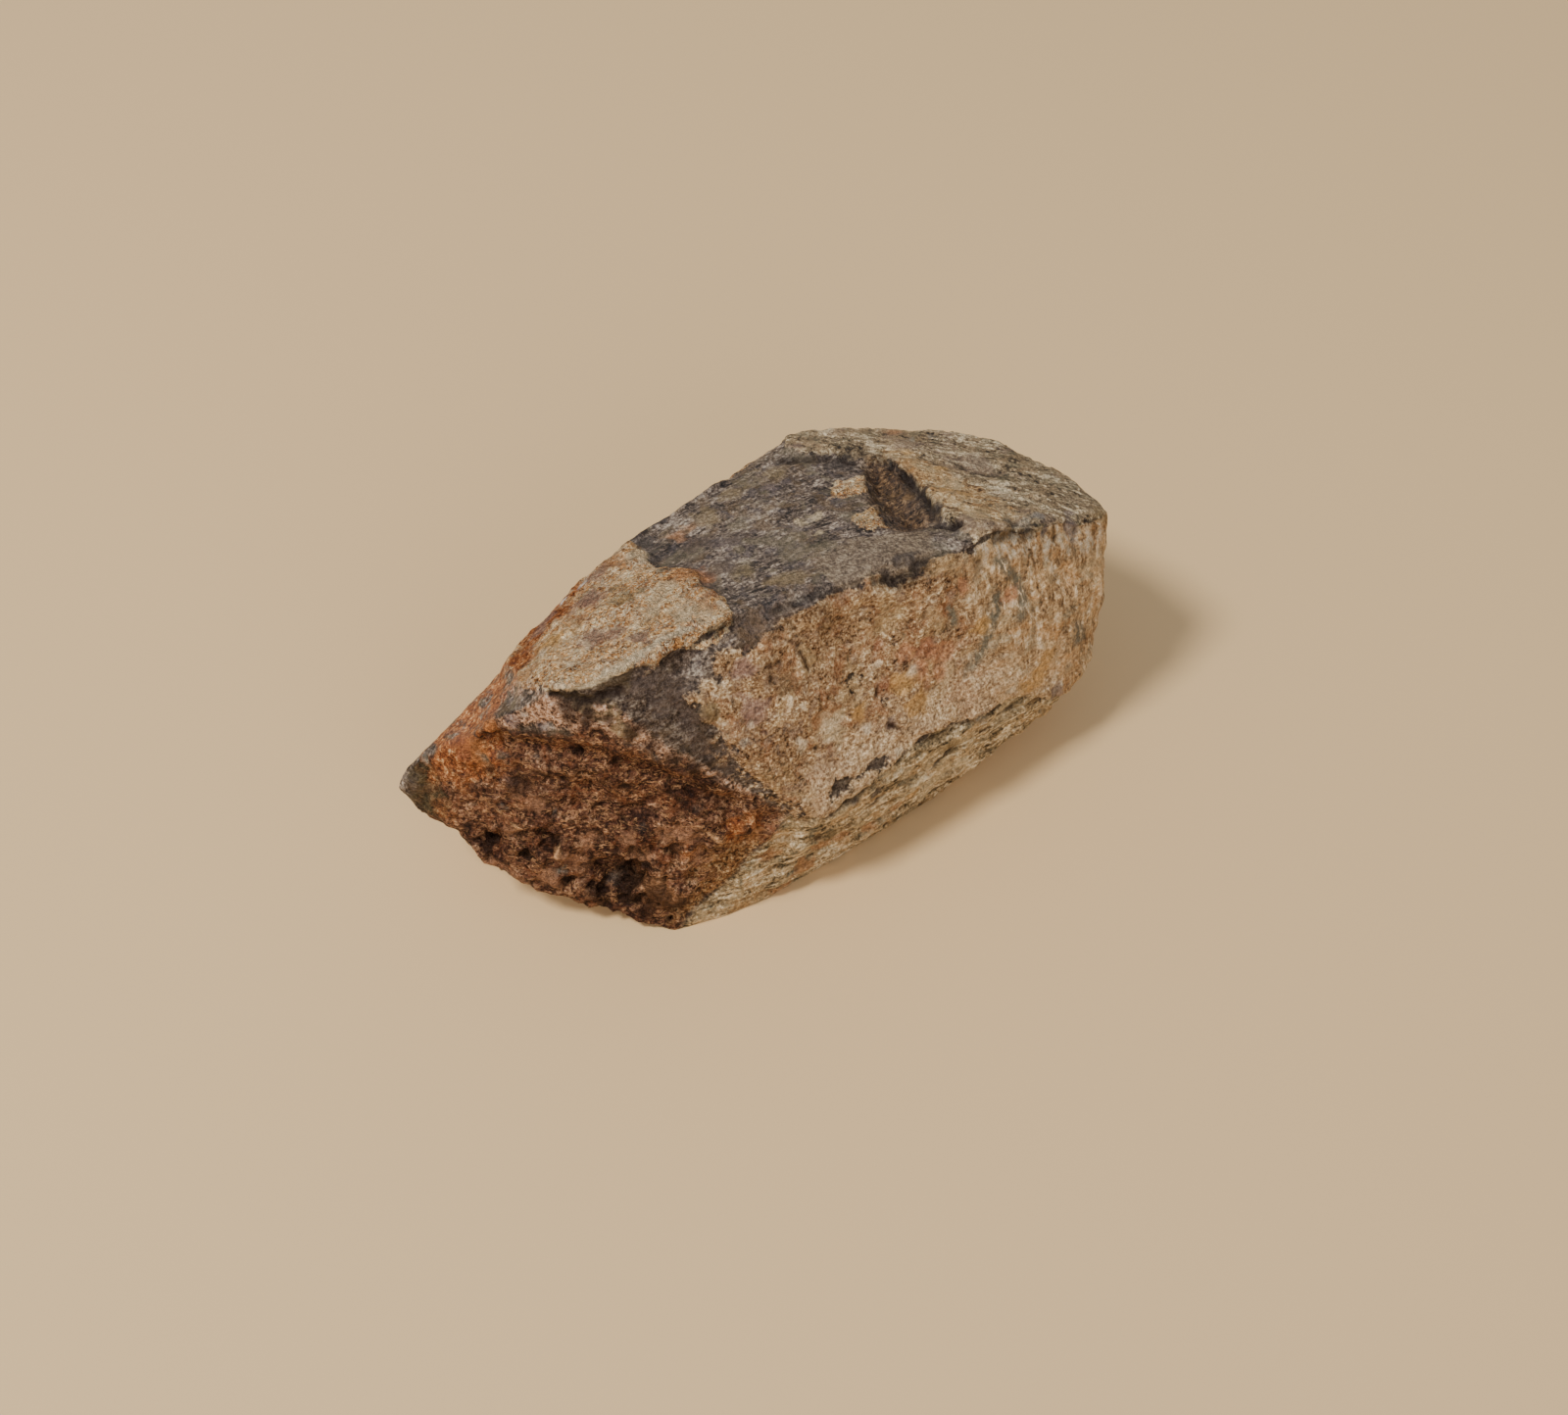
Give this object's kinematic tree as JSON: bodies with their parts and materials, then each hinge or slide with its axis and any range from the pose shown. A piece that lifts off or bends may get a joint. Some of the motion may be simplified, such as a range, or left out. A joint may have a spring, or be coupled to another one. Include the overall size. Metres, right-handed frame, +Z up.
{
  "type": "bismutotantalite specimen",
  "caption": "Blocky, lopsided mineral specimen with flat worn faces, one broken pitted end and a pale flaking crust, lying on a small flat foot.",
  "frame": {"origin": "middle of the length and the width, at the height of the flat foot", "axes": "+Z up, +X along the crest away from the pointed tip, -Y towards the steep crusted front face"},
  "size_m": [0.0636, 0.0336, 0.0276],
  "materials": {
    "crystal": "dull dark grey-brown mineral under a matt tan and cream crust, rust-red and pitted at the broken end"
  },
  "bodies": {
    "root": {"crystal": "crystal"}
  },
  "joints": []
}
